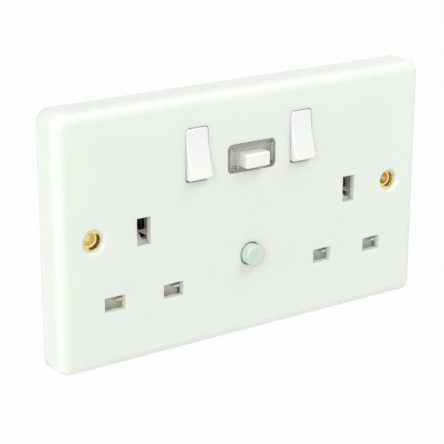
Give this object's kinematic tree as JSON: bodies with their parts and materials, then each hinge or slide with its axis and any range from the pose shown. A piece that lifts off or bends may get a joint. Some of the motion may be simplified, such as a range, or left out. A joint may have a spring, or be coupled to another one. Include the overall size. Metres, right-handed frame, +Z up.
{
  "type": "residual current device socket",
  "caption": "Twin switched mains socket plate with a built-in residual current device: rocker switches, reset and test buttons, shuttered pin holes and rear terminals.",
  "frame": {"origin": "midway between the two fixing holes, in the plane of the front plate's back rim, which is the wall", "axes": "+X to the right along the plate, +Y into the wall, +Z up. The front face looks along -Y"},
  "size_m": [0.146, 0.0357, 0.086],
  "materials": {
    "faceplate": "satin gloss white, faintly green",
    "rocker": "glossy white",
    "clear_window": "clear moulded plastic",
    "reset_button": "glossy white",
    "test_button": "satin pale grey green",
    "flag": "matt red",
    "inner_moulding": "matt white",
    "shutter": "matt white",
    "housing": "matt white, fine spark texture",
    "brass": "plain brass",
    "eyelet": "polished brass",
    "copper": "drawn copper",
    "steel": "zinc plated",
    "board": "green lacquer",
    "dark_plastic": "black",
    "toroid": "blue lacquer",
    "winding": "enamelled copper wire",
    "varistor": "blue lacquer",
    "resistor": "beige lacquer"
  },
  "bodies": {
    "socket": {"faceplate": "faceplate", "contact_deck": "inner_moulding", "rear_housing": "housing", "housing_screws": "steel", "left_eyelet": "eyelet", "right_eyelet": "eyelet", "left_earth_strap": "brass", "right_earth_strap": "brass", "earth_bar": "brass", "left_earth_contact": "brass", "right_earth_contact": "brass", "left_line_contact": "brass", "right_line_contact": "brass", "left_neutral_contact": "brass", "right_neutral_contact": "brass", "neutral_bar": "brass", "left_switched_strap": "brass", "right_switched_strap": "brass", "load_line_bar": "brass", "left_shutter_spring": "steel", "right_shutter_spring": "steel", "reset_window": "clear_window", "reset_spring": "steel", "line_supply_strap": "brass", "neutral_supply_strap": "brass", "line_terminal": "brass", "neutral_terminal": "brass", "earth_terminal": "brass", "terminal_screws": "steel", "test_spring": "steel", "test_leaf": "copper", "test_post": "steel", "circuit_board": "board", "sensing_toroid": "toroid", "line_conductor": "copper", "neutral_conductor": "copper", "trip_solenoid": "winding", "solenoid_frame": "steel", "sense_chip": "dark_plastic", "smoothing_capacitor": "dark_plastic", "varistor": "varistor", "test_resistor": "resistor"},
    "left_rocker": {"left_rocker": "rocker", "left_rocker_plunger": "steel", "left_rocker_spring": "steel"},
    "right_rocker": {"right_rocker": "rocker", "right_rocker_plunger": "steel", "right_rocker_spring": "steel"},
    "left_bridge": {"left_contact_bridge": "brass"},
    "right_bridge": {"right_contact_bridge": "brass"},
    "left_shutter": {"left_shutter": "shutter"},
    "right_shutter": {"right_shutter": "shutter"},
    "reset_button": {"reset_button": "reset_button"},
    "carriage": {"contact_carriage": "dark_plastic", "line_moving_contact": "copper", "neutral_moving_contact": "copper"},
    "flag": {"indicator_flag": "flag"},
    "test_button": {"test_button": "test_button"},
    "trip_plunger": {"trip_plunger": "steel"},
    "trip_lever": {"trip_lever": "dark_plastic"}
  },
  "joints": [
    {"name": "left_rocker_tip", "type": "hinge", "parent": "socket", "child": "left_rocker", "pos_m": [-0.0214, -0.0097, 0.0222], "axis": [1, 0, 0], "range_deg": [0, 24.4]},
    {"name": "left_bridge_tip", "type": "hinge", "parent": "socket", "child": "left_bridge", "pos_m": [-0.0214, 0.0027, 0.0222], "axis": [1, 0, 0], "range_deg": [-19.6, 0]},
    {"name": "left_shutter_slide", "type": "slide", "parent": "socket", "child": "left_shutter", "axis": [0, 0, -1], "range_m": [0, 0.0052], "stiffness_N_per_m": 60, "springref_m": -0.004, "deforming": ["left_shutter_spring"]},
    {"name": "right_rocker_tip", "type": "hinge", "parent": "socket", "child": "right_rocker", "pos_m": [0.0205, -0.0097, 0.0222], "axis": [1, 0, 0], "range_deg": [0, 24.4]},
    {"name": "right_bridge_tip", "type": "hinge", "parent": "socket", "child": "right_bridge", "pos_m": [0.0205, 0.0027, 0.0222], "axis": [1, 0, 0], "range_deg": [-19.6, 0]},
    {"name": "right_shutter_slide", "type": "slide", "parent": "socket", "child": "right_shutter", "axis": [0, 0, -1], "range_m": [0, 0.0052], "stiffness_N_per_m": 60, "springref_m": -0.004, "deforming": ["right_shutter_spring"]},
    {"name": "reset_push", "type": "slide", "parent": "socket", "child": "reset_button", "axis": [0, 1, 0], "range_m": [0, 0.003], "stiffness_N_per_m": 150, "springref_m": -0.005, "deforming": ["reset_spring"]},
    {"name": "carriage_slide", "type": "slide", "parent": "socket", "child": "carriage", "axis": [0, 1, 0], "range_m": [0, 0.003]},
    {"name": "flag_lift", "type": "slide", "parent": "socket", "child": "flag", "axis": [0, 0, 1], "range_m": [0, 0.004]},
    {"name": "test_push", "type": "slide", "parent": "socket", "child": "test_button", "axis": [0, 1, 0], "range_m": [0, 0.0015], "stiffness_N_per_m": 200, "springref_m": -0.003, "deforming": ["test_spring"]},
    {"name": "trip_plunger_slide", "type": "slide", "parent": "socket", "child": "trip_plunger", "axis": [0, 0, 1], "range_m": [0, 0.0012], "stiffness_N_per_m": 60, "springref_m": -0.003},
    {"name": "trip_lever_turn", "type": "hinge", "parent": "socket", "child": "trip_lever", "pos_m": [-0.0115, 0.0032, 0.0115], "axis": [0, 1, 0], "range_deg": [0, 11.5]}
  ],
  "couplings": [
    {"joint": "left_bridge_tip", "follows": "left_rocker_tip", "ratio": -0.8},
    {"joint": "right_bridge_tip", "follows": "right_rocker_tip", "ratio": -0.8},
    {"joint": "carriage_slide", "follows": "reset_push", "ratio": 1},
    {"joint": "flag_lift", "follows": "reset_push", "ratio": 1.3333},
    {"joint": "trip_lever_turn", "follows": "trip_plunger_slide", "rad_per_m": 166.6}
  ]
}
